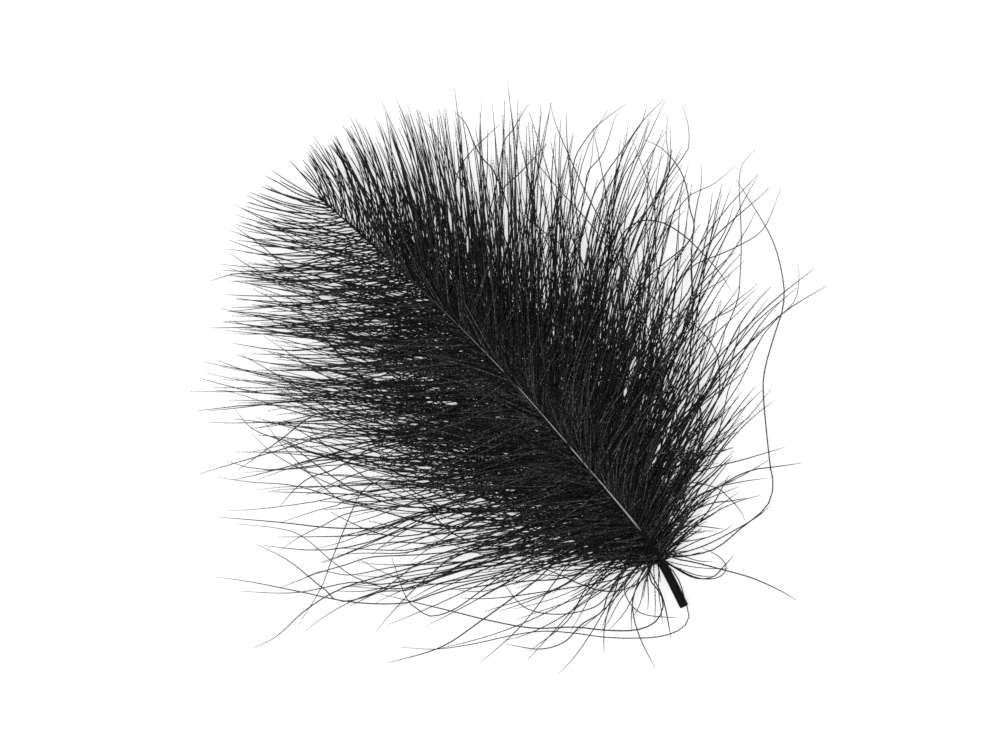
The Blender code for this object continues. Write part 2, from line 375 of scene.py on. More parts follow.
def comb_layer(rows, side, layer, rng, reach=1.0):
    """One layer of a vane's barbs, from its base to its tip."""
    part, root_turn, tip_turn, lift = layer
    grid = np.linspace(0, 1, SHAFT_STEPS + 1)
    grown = np.cumsum(between(rows, grid)[3]) * part * VANE_LENGTH_MM / SHAFT_STEPS
    count = int(grown[-1])
    place = np.interp(np.arange(count) + UNEVENNESS * rng.random(count), grown, grid)
    length, leaves, ends, _, missed, rarity = between(rows, place)
    share = reach * (1 - missed * rng.random(count) ** rarity)
    root, heading, shaft_radius = shaft_at(BARE_QUILL + (1 - BARE_QUILL) * place)

    wild = 1 - rises(place, WILD_FADES)
    combed = rises(place, COMBED_GROWS)

    def amount(row):
        return row[0] + row[1] * wild + row[2] * combed

    # Each lock has a bend, a reach and a lift of its own, and its barbs lean together or apart.
    rank = place * LOCKS_A_LAYER + rng.random()
    lock = rank.astype(int)
    lock_bend = rng.normal(0, LOCK_BEND_DEG, LOCKS_A_LAYER + 2)[lock] * amount(LOCKS_BEND)
    share = share * rng.uniform(*LOCK_REACH, LOCKS_A_LAYER + 2)[lock]
    lock_lift = rng.uniform(0.0, lift, LOCKS_A_LAYER + 2)[lock]
    leans = (rank - lock - 0.5) * rng.uniform(*LOCK_LEAN_DEG, LOCKS_A_LAYER + 2)[lock] * amount(LOCKS_BEND)

    # Each barb strays, drifts, waves and wanders in its own way.
    t = (np.arange(BARB_POINTS - 1) + 0.5) / (BARB_POINTS - 1)
    flow = t[None, :] * share[:, None]
    stray = rng.normal(0, 1, count) * amount(STRAYS_DEG)
    crossing = rng.random(count) < amount(CROSSING_SHARE)
    turned = rng.normal(0, CROSSING_DEG, crossing.sum())
    stray[crossing] += within(turned, MOST_CROSSING_DEG)
    share = np.where(crossing, CROSSING_REACH * share, share)
    drift = within(rng.normal(0, 1, count), MOST_DEVIATIONS) * amount(DRIFT_DEG)
    wave = within(rng.normal(0, 1, count), MOST_DEVIATIONS) * amount(WAVE_DEG)
    pitch = rng.uniform(*WAVES, count)
    phase = rng.uniform(0, 2 * math.pi, count)
    wander = np.cumsum(rng.normal(0, 1, flow.shape), axis=1) * amount(WANDER_DEG)[:, None]
    turns = TURN_AT_BASE + (1 - TURN_AT_BASE) * eased(place / TURN_FULL_FROM)
    straight = leaves[:, None] + (ends - leaves)[:, None] * flow
    angle = straight + (stray + lock_bend + root_turn * turns)[:, None]
    angle += (drift + leans + (tip_turn - root_turn) * turns)[:, None] * flow
    waving = np.sin(2 * math.pi * pitch[:, None] * flow + phase[:, None])
    angle += wave[:, None] * waving * eased(WAVES_GROW * flow)
    angle += wander * eased(WANDER_GROWS * flow)

    # A barb that strays far to a side is a short one.
    astray = np.abs((angle - straight).mean(axis=1) - 0.5 * (root_turn + tip_turn) * turns)
    share = share * (1 - ASTRAY_MISSES * rises(astray, ASTRAY_DEG))
    plan = walked_plan(root, heading, side, length, share, angle)

    # Each barb rises a little from the shaft, arches and comes down to its own height.
    t = np.linspace(0, 1, BARB_POINTS)[None, :]
    root_height = root[:, 2] + rng.uniform(-ROOT_SPREAD, ROOT_SPREAD, count) * shaft_radius
    rest = RESTS_MM[0] + RESTS_MM[1] * rng.random(count) ** 2
    lands = rng.uniform(*LANDS, count)[:, None]
    fallen = eased(t * share[:, None] / lands)
    lifted = lock_lift * (LIFT_SHARE + 1 - eased(place / LIFT_MORE_UNTIL))
    loft = np.abs(rng.normal(0, ARCH_MM, count)) + lifted
    arch = np.sin(math.pi * np.clip(t / ARCH_ENDS, 0, 1)) * loft[:, None]
    height = root_height[:, None] * (1 - fallen) + rest[:, None] * fallen + arch
    height = np.where(height > SHAFT_TOP_MM, SHAFT_TOP_MM + LOFT_SHARE * (height - SHAFT_TOP_MM), height)
    height = np.maximum(height, LOWEST_MM)

    lines = np.concatenate((plan, height[:, :, None]), axis=2)
    thickness = rng.uniform(*BARBS_VARY, count) * amount(THICKNESS)
    fuzz = rng.uniform(*FUZZ_VARIES, count) * amount(FUZZ)
    return Barbs(lines, thickness, rng.random(count), fuzz), place


def comb_vane(rows, side, rng):
    """All the layers of one vane, as barbs in order from its base to its tip."""
    layers = [comb_layer(rows, side, layer, rng) for layer in LAYERS]
    order = np.argsort(np.concatenate([place for _, place in layers]))
    vane = gathered([barbs for barbs, _ in layers]).some(order)
    vane.lines = without_kinks(vane.lines)
    return vane


def under_vane(rows, side, rng):
    """The thick short barbs under a vane, which thin out towards the feather's tip."""
    layers = []
    for layer in UNDERDOWN_LAYERS:
        barbs, place = comb_layer(rows, side, layer, rng, UNDERDOWN_REACH)
        layers.append(barbs.some(rng.random(len(place)) > rises(place, UNDERDOWN_THINS)))
    under = gathered(layers)
    under.thickness *= UNDERDOWN_THICKNESS
    return under


def gathered(groups):
    """Several groups of barbs as one."""
    parts = ("lines", "thickness", "tone", "fuzz")
    return Barbs(*(np.concatenate([getattr(group, part) for group in groups]) for part in parts))


def foot_fan(rows, side, count, rng):
    """The single barbs that spread round the foot of a vane."""
    place = ((np.arange(count) + rng.random(count)) / count) ** FAN_GATHERS
    length, leaves, ends = between(rows, place)
    share = rng.uniform(*FAN_REACH, count)
    higher = FAN_SPREAD * (1 - place) * rng.random(count) ** FAN_SPREAD_POWER
    higher += rng.uniform(0, FAN_UNEVENNESS, count)
    root, heading, shaft_radius = shaft_at(BARE_QUILL + higher)
    t = (np.arange(BARB_POINTS - 1) + 0.5) / (BARB_POINTS - 1)
    bend = within(rng.normal(0, FAN_BEND_DEG[0], count), FAN_BEND_DEG[1])
    wave = within(rng.normal(0, FAN_WAVE_DEG[0], count), FAN_WAVE_DEG[1])
    pitch = rng.uniform(*FAN_WAVES, count)
    phase = rng.uniform(0, 2 * math.pi, count)
    angle = leaves[:, None] + (ends - leaves)[:, None] * t
    angle += rng.normal(0, FAN_STRAYS_DEG, count)[:, None] + bend[:, None] * t
    angle += wave[:, None] * np.sin(2 * math.pi * pitch[:, None] * t + phase[:, None])
    plan = walked_plan(root, heading, side, length, share, angle)
    t = np.linspace(0, 1, BARB_POINTS)[None, :]
    rest = rng.uniform(*FAN_RESTS_MM, count)[:, None]
    fallen = eased(t / rng.uniform(*FAN_LANDS, count)[:, None])
    arch = np.sin(math.pi * t) * np.abs(rng.normal(0, FAN_ARCH_MM, count))[:, None]
    root_height = (root[:, 2] + rng.uniform(*FAN_ROOTS, count) * shaft_radius)[:, None]
    height = np.maximum(root_height * (1 - fallen) + rest * fallen + arch, LOWEST_MM)
    lines = without_kinks(np.concatenate((plan, height[:, :, None]), axis=2))
    thickness = rng.uniform(*FAN_THICKNESS, count)
    tone = rng.random(count)
    return Barbs(lines, thickness, tone, rng.uniform(*FAN_FUZZ, count))


# Barbs and barbules as meshes


def straight_tube(sides, rings):
    """A closed tube of radius 1 that stands on the origin, with its rings a unit apart."""
    mesh = bmesh.new()
    bmesh.ops.create_circle(mesh, segments=sides, radius=1.0)
    rim = mesh.edges[:]
    for _ in range(1, rings):
        made = bmesh.ops.extrude_edge_only(mesh, edges=rim)["geom"]
        raised = {item for item in made if isinstance(item, bmesh.types.BMVert)}
        bmesh.ops.translate(mesh, verts=list(raised), vec=(0, 0, 1))
        rim = [edge for edge in mesh.edges if raised.issuperset(edge.verts)]
    bmesh.ops.holes_fill(mesh, edges=mesh.edges)
    return mesh


def rod_shape(points):
    """A straight three-sided rod with a ring at each point, a unit apart, and its triangles."""
    return shape_of(straight_tube(3, points))


def spike_shape():
    """A closed three-sided spike: a barbule."""
    mesh = bmesh.new()
    bmesh.ops.create_cone(mesh, cap_ends=True, segments=3, radius1=1.0, radius2=0.0, depth=1.0)
    bmesh.ops.remove_doubles(mesh, verts=mesh.verts, dist=1e-5)
    bmesh.ops.translate(mesh, verts=mesh.verts, vec=(0, 0, 0.5))
    return shape_of(mesh)


def shape_of(mesh):
    """A prototype's vertices and triangles as arrays, with its faces pointing outwards."""
    bmesh.ops.recalc_face_normals(mesh, faces=mesh.faces)
    bmesh.ops.triangulate(mesh, faces=mesh.faces)
    mesh.verts.index_update()
    verts = np.array([v.co for v in mesh.verts])
    faces = np.array([[v.index for v in face.verts] for face in mesh.faces])
    mesh.free()
    return verts, faces


def directions(lines):
    """Along, across and up at every point of every line."""
    along = np.gradient(lines, axis=1)
    along /= np.linalg.norm(along, axis=2, keepdims=True)
    across = np.cross((0.0, 0.0, 1.0), along)
    across /= np.linalg.norm(across, axis=2, keepdims=True)
    return along, across, np.cross(along, across)


def rods(barbs):
    """Every barb as a rod bent along its centre line, thinning to its tip."""
    count, points = barbs.lines.shape[:2]
    verts, faces = rod_shape(points)
    ring = np.rint(verts[:, 2]).astype(int)
    t = np.linspace(0, 1, points)
    thin = (1 - BARB_TAPER * t) * (1 - BARB_TIP_TAPER * t**BARB_TIP_POWER)
    radius = BARB_RADIUS_MM * barbs.thickness[:, None] * thin[None, :]
    _, across, up = directions(barbs.lines)
    around = across[:, ring] * verts[None, :, 0:1] + up[:, ring] * verts[None, :, 1:2]
    copies = barbs.lines[:, ring] + radius[:, ring, None] * around
    return joined(copies, faces), np.repeat(barbs.tone * BARB_TONE, len(verts)), np.tile(t[ring], count)


def joined(copies, faces):
    """Many copies of a shape as one set of points and triangles."""
    count, each = copies.shape[:2]
    offsets = (np.arange(count) * each)[:, None, None]
    return copies.reshape(-1, 3), (faces[None] + offsets).reshape(-1, 3)


def barbules(barbs, rng):
    """The barbules of every barb: spikes in pairs along it."""
    count, points = barbs.lines.shape[:2]
    _, across, up = directions(barbs.lines)
    span = np.linalg.norm(np.diff(barbs.lines, axis=1), axis=2).sum(axis=1)
    nodes = np.maximum((span / BARBULE_GAP_MM).astype(int), 2)
    barb = np.repeat(np.arange(count), nodes)
    first = np.cumsum(nodes) - nodes
    number = np.arange(len(barb)) - first[barb]
    even = (number + rng.uniform(*BARBULE_STANDS, len(barb))) / nodes[barb]
    t = np.clip(even, 0.0, LAST_BARBULE) ** BARBULES_GATHER
    barb = np.repeat(barb, 2)
    t = np.repeat(t, 2)
    side = np.tile((-1.0, 1.0), len(t) // 2)
    many = len(t)

    spot = t * (points - 1)
    low = spot.astype(int)
    part = (spot - low)[:, None]
    at = barbs.lines[barb, low] * (1 - part) + barbs.lines[barb, low + 1] * part
    ahead = barbs.lines[barb, low + 1] - barbs.lines[barb, low]
    ahead /= np.linalg.norm(ahead, axis=1, keepdims=True)
    beside, above = across[barb, low], up[barb, low]

    opens = np.radians(rng.uniform(*BARBULE_OPENING_DEG, many))
    rolls = np.radians(rng.normal(0, BARBULE_ROLL_DEG, many))
    out = beside * (side * np.cos(rolls))[:, None] + above * np.sin(rolls)[:, None]
    heading = ahead * np.cos(opens)[:, None] + out * np.sin(opens)[:, None]
    first_axis = np.cross(heading, above)
    first_axis /= np.linalg.norm(first_axis, axis=1, keepdims=True)
    second_axis = np.cross(heading, first_axis)
    shortened = BARBULES_SHORTEN[0] - BARBULES_SHORTEN[1] * t
    reach = rng.uniform(*BARBULE_MM, many) * barbs.fuzz[barb] * shortened
    width = BARBULE_RADIUS_MM * rng.uniform(*BARBULES_VARY, many) * (1 - BARBULES_THIN * t**3)

    # A barbule that would dip below the surface lies on it.
    low_tip = at[:, 2] + heading[:, 2] * reach
    heading[:, 2] += np.maximum(0.0, BARBULE_TIP_MM - low_tip) / reach

    verts, faces = spike_shape()
    spikes = (
        at[:, None]
        + first_axis[:, None] * verts[None, :, 0:1] * width[:, None, None]
        + second_axis[:, None] * verts[None, :, 1:2] * width[:, None, None]
        + heading[:, None] * verts[None, :, 2:3] * reach[:, None, None]
    )
    return joined(spikes, faces), np.repeat(rng.random(many), len(verts)), np.repeat(t, len(verts))


def down_piece(name, groups, material):
    """Makes one piece of joined meshes, with a tone and a place along the barb at every point."""
    points = np.concatenate([group[0][0] for group in groups])
    starts = np.cumsum([0] + [len(group[0][0]) for group in groups])
    faces = np.concatenate([group[0][1] + start for group, start in zip(groups, starts)])
    data = bpy.data.meshes.new(name)
    data.vertices.add(len(points))
    data.vertices.foreach_set("co", ((points - MIDDLE_MM) * MM).astype(np.float32).ravel())
    data.loops.add(faces.size)
    data.loops.foreach_set("vertex_index", faces.astype(np.int32).ravel())
    data.polygons.add(len(faces))
    data.polygons.foreach_set("loop_start", np.arange(0, faces.size, 3, dtype=np.int32))
    data.update(calc_edges=True)
    data.shade_smooth()
    for label, column in (("tone", 1), ("along", 2)):
        values = np.concatenate([group[column] for group in groups]).astype(np.float32)
        data.attributes.new(label, "FLOAT", "POINT").data.foreach_set("value", values)
    dressed(name, data, material)


def fluffy_piece(name, barbs, material, rng):
    """Makes a piece of barbs with their barbules."""
    down_piece(name, [rods(barbs), barbules(barbs, rng)], material)


def dressed(name, data, material):
    """Makes the object of a finished mesh, riding on the feather's body in place of its solid."""
    piece = bpy.data.objects.new(name, data)
    bpy.context.scene.collection.objects.link(piece)
    data.materials.append(material)
    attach(piece, "root")
    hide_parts("feather")


# Shader nodes


def plug(tree, socket, term):
    """Links a value to a socket, or sets the socket to a plain number or colour."""
    if isinstance(term, Value):
        tree.links.new(term.socket, socket)
    else:
        socket.default_value = term


class Value:
    """A socket that takes part in sums."""

    def __init__(self, tree, socket):
        self.tree = tree
        self.socket = socket

    def math(self, operation, other, swapped=False):
        node = self.tree.nodes.new("ShaderNodeMath")
        node.operation = operation
        for slot, term in zip((1, 0) if swapped else (0, 1), (self, other)):
            plug(self.tree, node.inputs[slot], term)
        return Value(self.tree, node.outputs[0])

    def __add__(self, other):
        return self.math("ADD", other)

    def __sub__(self, other):
        return self.math("SUBTRACT", other)

    def __rsub__(self, other):
        return self.math("SUBTRACT", other, swapped=True)

    def __mul__(self, other):
        return self.math("MULTIPLY", other)

    def __pow__(self, other):
        return self.math("POWER", other)

    __radd__ = __add__
    __rmul__ = __mul__


# The sockets of a Mix node that mixes colours, by their numbers.
MIX_SHARE, MIX_LOW, MIX_HIGH, MIX_COLOUR = 0, 6, 7, 2


class Finish:
    """A material and its shader, with one method that makes any other node."""

    def __init__(self, name):
        self.material = bpy.data.materials.new(name)
        self.material.use_nodes = True
        self.tree = self.material.node_tree
        self.shader = self.tree.nodes["Principled BSDF"]

    def node(self, kind, settings=None, inputs=None, output=0):
        made = self.tree.nodes.new(kind)
        for key, setting in (settings or {}).items():
            setattr(made, key, setting)
        for key, term in (inputs or {}).items():
            plug(self.tree, made.inputs[key], term)
        return Value(self.tree, made.outputs[output])

    def attribute(self, name):
        return self.node("ShaderNodeAttribute", {"attribute_name": name}, output="Fac")

    def noise(self, scale, detail=2.0):
        place = self.node("ShaderNodeTexCoord", output="Object")
        inputs = {"Vector": place, "Scale": scale, "Detail": detail}
        return self.node("ShaderNodeTexNoise", inputs=inputs, output="Fac")

    def blend(self, share, low, high):
        inputs = {MIX_SHARE: share, MIX_LOW: low, MIX_HIGH: high}
        return self.node("ShaderNodeMix", {"data_type": "RGBA"}, inputs, MIX_COLOUR)

    def feed(self, **sockets):
        for name, term in sockets.items():
            plug(self.tree, self.shader.inputs[name.replace("_", " ")], term)


# The down's colours, how strongly its specks of grey show and how brown its tips are. The grey specks are
# partly random tone of the down and partly painted glints of light on its barbules.
DEEP_BLACK = (0.0015, 0.0015, 0.002, 1)
SPECK_AND_GLINT_GREY = (0.190, 0.186, 0.182, 1)
TIP_BROWN = (0.040, 0.036, 0.034, 1)
SPECKS_A_METRE = 6500.0
SPECK_STRENGTH = 12.0
TIP_BROWNING = 0.35

# The shaft's colours, the pale painted highlight along its top and the patterns on it.
HORN_BLACK = (0.001, 0.001, 0.001, 1)
HORN_BROWN = (0.006, 0.0055, 0.005, 1)
PAINTED_HIGHLIGHT_PALE = (0.50, 0.49, 0.48, 1)
STREAKS_A_METRE = 2600.0
CLOUDS_A_METRE = 700.0


def down_finish():
    """Matt black down, each barb a shade of its own and a little browner towards its tip."""
    finish = Finish("black_down")
    tone = finish.attribute("tone")
    along = finish.attribute("along")
    # Grey specks: partly random tone of the down, partly painted glints of light on its barbules.
    specks_and_glints = tone**2 * finish.noise(SPECKS_A_METRE) ** 5 * SPECK_STRENGTH
    shade = finish.blend(specks_and_glints, DEEP_BLACK, SPECK_AND_GLINT_GREY)
    finish.feed(
        Base_Color=finish.blend(along**3 * TIP_BROWNING, shade, TIP_BROWN),
        Roughness=0.52 + tone * 0.2,
        Specular_IOR_Level=0.12,
    )
    return finish.material


def shaft_finish():
    """Black glossy keratin with a pale painted highlight line along the top of the shaft."""
    finish = Finish("black_shaft")
    pale = finish.attribute("pale")
    streaks = finish.noise(STREAKS_A_METRE, 3.0)
    horn = finish.blend(finish.noise(CLOUDS_A_METRE), HORN_BLACK, HORN_BROWN)
    finish.feed(
        # The pale line is a painted highlight along the top of the shaft, broken up by streaks.
        Base_Color=finish.blend(pale * (0.65 + streaks * 0.6), horn, PAINTED_HIGHLIGHT_PALE),
        Roughness=0.30 + streaks * 0.15,
        Specular_IOR_Level=0.07,
    )
    return finish.material


# The shaft


SHAFT_SIDES = 24
SHAFT_RINGS = 90

# The open end of the quill: the bore's depth with its profile, as shares of that depth and of the
# quill's radius, then the cut rim, as shares of the shaft's length and of that radius.
BORE_DEPTH_MM = 1.8
BORE_PROFILE = ((1.0, 0.30), (0.92, 0.594), (0.4, 0.66), (0.0, 0.66))
RIM_PROFILE = ((0.0, 0.95), (0.004, 1.0))

# How far ahead and behind a ring the shaft's direction is read, and the least angle of an edge
# that stays sharp.
NEARBY = 0.01
SHARP_DEG = 50

# The groove along the shaft's top: its depth as a share of the radius, its width in radians, and
# the places where it starts and fades.
GROOVE_DEPTH = 0.16
GROOVE_WIDTH = 0.35
GROOVE_STARTS = (0.10, 0.13)
GROOVE_FADES = (0.55, 0.85)

# The pale painted highlight line along the top: its width in radians, how much wider it starts,
# and the places where it starts, where it has narrowed and where it fades.
PALE_WIDTH = 0.10
PALE_WIDER = 0.7
PALE_STARTS = (0.16, 0.18)
PALE_NARROWS = (0.16, 0.28)
PALE_FADES = (0.35, 0.90)


def shaft_stations():
    """Shares of the shaft's length and radius at its rings: bore, cut rim and outside to the tip."""
    inside = np.array(BORE_PROFILE) * (BORE_DEPTH_MM / SHAFT_LENGTH_MM, 1)
    along = np.linspace(RIM_PROFILE[-1][0], 1, SHAFT_RINGS + 1)[1:]
    outside = np.column_stack((along, np.ones(SHAFT_RINGS)))
    return np.concatenate((inside, RIM_PROFILE, outside))


def model_shaft(finish):
    """The quill with its open cut end and the shaft up to its thin tip."""
    stations = shaft_stations()
    mesh = straight_tube(SHAFT_SIDES, len(stations))
    pale_layer = mesh.verts.layers.float.new("pale")
    verts = mesh.verts[:]
    spots = np.array([vert.co for vert in verts])
    along, share = stations[np.rint(spots[:, 2]).astype(int)].T
    centre, _, radius = shaft_at(along)
    forward = shaft_at(along + NEARBY)[0] - shaft_at(along - NEARBY)[0]
    forward /= np.linalg.norm(forward, axis=1, keepdims=True)
    across = np.cross(forward, (0.0, 0.0, 1.0))
    across /= np.linalg.norm(across, axis=1, keepdims=True)
    up = np.cross(across, forward)
    off_top = np.arctan2(spots[:, 0], spots[:, 1])
    groove = rises(along, GROOVE_STARTS) * (1 - rises(along, GROOVE_FADES))
    reach = radius * share * (1 - GROOVE_DEPTH * groove * np.exp(-((off_top / GROOVE_WIDTH) ** 2)))
    points = centre + (across * spots[:, 0:1] + up * spots[:, 1:2]) * reach[:, None]
    points[:, 2] = np.maximum(points[:, 2], 0.0)
    # A pale line painted along the shaft's top, standing in for the highlight of light along it.
    highlit_share = rises(along, PALE_STARTS) * (1 - rises(along, PALE_FADES))
    wide = PALE_WIDTH * (1 + PALE_WIDER * (1 - rises(along, PALE_NARROWS)))
    pale = highlit_share * np.exp(-((off_top / wide) ** 2))
    for vert, point, light in zip(verts, (points - MIDDLE_MM) * MM, pale):
        vert.co = point
        vert[pale_layer] = light
    bmesh.ops.recalc_face_normals(mesh, faces=mesh.faces)
    data = bpy.data.meshes.new("shaft")
    mesh.to_mesh(data)
    mesh.free()
    data.shade_smooth()
    data.set_sharp_from_angle(angle=math.radians(SHARP_DEG))
    dressed("shaft", data, finish)


# Loose barbs, each by points read off the photograph from where it leaves the down to its tip


LOOSE_BARBS_PX = (
    ((620, 505), (560, 512), (480, 509), (411, 507), (355, 502), (296, 486), (250, 482), (216, 477)),
    ((640, 533), (560, 545), (480, 556), (437, 577), (396, 589), (357, 578), (332, 561), (302, 536),
     (277, 528), (237, 524)),
    ((648, 546), (560, 566), (480, 581), (437, 593), (404, 603), (352, 602), (297, 591), (252, 582),
     (217, 577)),
    ((643, 538), (540, 552), (430, 575), (348, 601), (323, 588), (289, 561), (256, 544)),
    ((638, 530), (560, 545), (470, 552), (396, 572), (343, 588), (307, 609), (277, 636), (254, 648)),
    ((645, 540), (560, 555), (480, 545), (423, 561), (386, 587), (352, 601), (325, 616), (305, 631)),
    ((642, 537), (560, 540), (473, 547), (430, 575), (393, 611), (376, 632)),
    ((600, 484), (500, 478), (430, 472), (379, 481), (361, 493), (354, 506), (332, 559), (321, 588),
     (297, 627)),
    ((620, 506), (540, 520), (470, 528), (396, 528), (336, 528), (277, 522), (218, 517)),
    ((622, 508), (540, 512), (470, 508), (414, 516), (371, 532), (343, 536), (277, 537)),
    ((652, 552), (676, 575), (686, 604), (689, 616), (682, 628), (662, 636), (635, 638), (604, 637),
     (574, 633), (543, 631), (513, 635), (472, 644), (435, 649), (400, 647)),
    ((653, 556), (649, 577), (660, 593), (663, 607), (655, 622), (635, 630), (604, 630), (574, 627),
     (533, 628), (492, 621), (451, 611), (406, 600), (380, 594)),
    ((654, 558), (643, 579), (625, 589), (604, 591), (580, 584), (558, 574), (531, 564)),
    ((650, 552), (627, 581), (625, 593), (633, 607), (647, 615), (678, 618)),
    ((655, 558), (643, 577), (633, 597), (634, 618), (641, 640), (655, 668)),
    ((648, 548), (625, 565), (615, 591), (608, 611), (604, 632), (604, 654)),
    ((654, 556), (650, 570), (661, 593), (666, 611), (671, 638)),
    ((646, 545), (604, 566), (584, 591), (572, 615), (555, 632), (529, 651)),
    ((640, 536), (600, 545), (564, 556), (535, 581), (511, 599), (482, 620), (441, 647), (388, 663)),
    ((644, 540), (580, 555), (556, 580), (535, 609), (517, 630), (502, 644), (480, 663)),
    ((640, 540), (619, 577), (606, 597), (592, 608), (564, 614), (537, 612), (519, 603), (502, 580)),
    ((620, 530), (560, 560), (513, 571), (494, 581), (458, 607), (433, 616), (419, 610), (406, 597),
     (392, 558)),
    ((642, 540), (610, 590), (602, 611), (582, 624), (564, 642), (539, 649), (506, 644)),
    ((660, 558), (690, 575), (709, 579), (722, 575), (726, 566), (718, 556), (701, 547)),
    ((662, 560), (692, 577), (712, 577), (724, 566), (734, 555)),
    ((658, 552), (678, 559), (693, 562), (724, 570), (752, 578), (779, 590), (796, 600)),
    ((652, 548), (672, 554), (703, 546), (735, 530), (758, 516), (770, 506)),
    ((654, 550), (680, 556), (714, 549), (741, 528), (766, 507), (773, 486), (770, 465), (765, 417),
     (763, 385), (766, 364), (775, 333), (783, 307), (783, 280), (771, 237), (736, 179)),
    ((640, 528), (680, 505), (720, 486), (745, 474), (770, 459)),
    ((636, 520), (680, 480), (715, 467), (745, 459), (785, 447)),
    ((645, 535), (680, 510), (710, 490), (740, 482), (768, 478)),
    ((650, 542), (680, 518), (709, 504), (730, 501), (747, 498)),
    ((636, 520), (680, 485), (714, 487), (730, 499), (741, 512), (745, 521)),
    ((600, 480), (640, 470), (690, 440), (717, 400), (719, 370), (716, 352), (703, 333), (682, 316),
     (653, 297)),
    ((636, 522), (690, 450), (735, 390), (760, 340), (776, 320), (795, 300), (799, 275), (797, 264)),
    ((620, 500), (670, 400), (703, 329), (733, 309), (756, 289)),
    ((585, 400), (600, 310), (616, 247), (635, 223), (660, 222), (683, 235), (704, 255), (719, 272),
     (731, 291)),
    ((679, 350), (672, 322), (654, 299), (623, 270), (595, 230), (577, 209), (554, 184), (524, 147)),
    ((640, 340), (630, 290), (617, 258), (602, 224), (585, 191), (573, 165), (556, 125), (550, 103)),
    ((590, 330), (586, 290), (577, 262), (564, 247), (539, 228), (512, 205)),
    ((600, 480), (650, 340), (674, 289), (693, 266), (718, 255), (740, 245), (764, 228), (781, 188)),
    ((590, 470), (640, 300), (666, 223), (677, 211), (689, 196), (715, 183), (736, 165)),
    ((610, 490), (690, 390), (733, 312), (740, 274), (741, 228), (739, 182), (743, 163), (755, 150)),
    ((570, 440), (630, 300), (690, 240), (689, 206), (686, 185), (677, 165), (660, 147), (644, 140)),
    ((480, 330), (486, 250), (500, 195), (519, 174), (534, 158), (547, 144)),
    ((478, 300), (484, 240), (495, 190), (504, 143), (513, 130), (525, 109), (531, 103)),
    ((550, 380), (562, 300), (569, 230), (572, 187), (574, 162), (582, 145), (599, 124), (626, 104)),
    ((555, 360), (570, 270), (584, 195), (588, 172), (603, 153), (615, 118), (619, 113)),
    ((560, 370), (575, 260), (592, 199), (607, 172), (622, 151), (642, 122), (664, 99)),
    ((575, 400), (600, 270), (617, 195), (626, 172), (640, 151), (647, 128), (651, 120)),
    ((600, 460), (650, 380), (659, 300), (657, 271), (655, 243), (655, 214), (649, 187), (642, 166),
     (632, 139)),
    ((600, 430), (630, 330), (648, 240), (653, 210), (659, 193), (668, 178), (678, 164), (687, 151),
     (689, 143), (688, 124), (682, 105)),
    ((620, 480), (670, 370), (690, 300), (699, 271), (709, 248), (720, 218), (731, 187)),
    ((620, 470), (680, 340), (700, 280), (712, 252), (724, 233), (734, 205)),
    ((625, 490), (680, 420), (690, 350), (693, 300), (691, 271), (693, 233), (697, 204), (701, 187),
     (701, 164)),
    ((590, 450), (640, 350), (661, 290), (672, 267), (684, 243), (687, 222)),
    ((600, 440), (640, 370), (663, 329), (684, 310), (703, 292), (724, 279), (744, 261)),
    ((630, 500), (670, 440), (700, 400), (730, 355), (749, 325), (768, 298)),
    ((590, 410), (630, 320), (650, 260), (659, 199), (668, 160), (666, 137), (668, 114)),
    ((570, 380), (600, 290), (610, 250), (615, 183), (617, 172), (622, 157), (632, 137), (642, 122),
     (647, 105)),
    ((500, 340), (490, 260), (470, 200), (454, 170), (441, 145), (431, 128), (420, 117)),
    ((520, 330), (510, 220), (495, 174), (483, 159), (474, 144), (466, 124), (454, 111)),
    ((440, 320), (450, 260), (454, 205), (458, 172), (470, 153), (483, 140), (500, 124)),
    ((420, 270), (370, 250), (334, 256), (296, 268), (265, 274), (234, 274), (211, 281)),
    ((450, 320), (360, 300), (319, 287), (296, 281), (257, 270), (229, 253)),
    ((440, 330), (340, 310), (305, 283), (288, 270), (263, 247), (234, 226)),
    ((560, 440), (440, 430), (370, 417), (324, 413), (307, 419), (280, 440), (238, 470)),
    ((520, 510), (420, 512), (345, 501), (334, 496), (307, 471), (282, 445), (264, 421)),
    ((560, 470), (440, 465), (353, 455), (319, 455), (286, 441), (266, 435), (250, 427), (235, 409)),
    ((540, 490), (430, 485), (345, 476), (322, 475), (301, 469), (282, 459), (269, 450), (252, 434)),
    ((540, 450), (430, 440), (380, 445), (353, 459), (330, 471), (311, 477), (296, 488), (280, 506)),
    ((560, 510), (450, 510), (409, 506), (391, 501), (376, 494), (363, 494), (338, 487)),
    ((560, 500), (430, 490), (353, 499), (338, 505), (315, 511), (282, 522)),
    ((560, 490), (450, 500), (391, 507), (349, 513), (322, 526), (301, 536), (279, 551)),
    ((600, 520), (500, 510), (430, 515), (410, 519), (380, 534), (365, 534), (342, 542), (315, 549)),
    ((610, 530), (520, 535), (456, 540), (430, 547), (401, 553), (365, 553), (334, 555)),
    ((620, 530), (520, 545), (426, 554), (372, 557), (345, 565), (315, 574), (280, 588)),
    ((630, 535), (520, 560), (430, 575), (384, 584), (353, 582), (322, 588), (301, 592), (277, 593),
     (240, 591)),
    ((625, 525), (560, 542), (500, 553), (449, 565), (410, 572), (372, 582), (342, 587)),
    ((628, 528), (560, 545), (500, 559), (458, 572), (420, 584), (391, 595), (376, 603)),
    ((630, 530), (560, 550), (500, 565), (468, 568), (430, 580), (391, 586), (365, 591), (334, 591)),
    ((635, 535), (570, 555), (500, 572), (468, 578), (439, 584), (410, 599)),
    ((620, 520), (540, 540), (472, 560), (440, 577), (407, 590), (380, 592), (350, 606)),
    ((622, 522), (530, 548), (460, 562), (400, 566), (350, 575), (322, 571), (300, 580)),
)

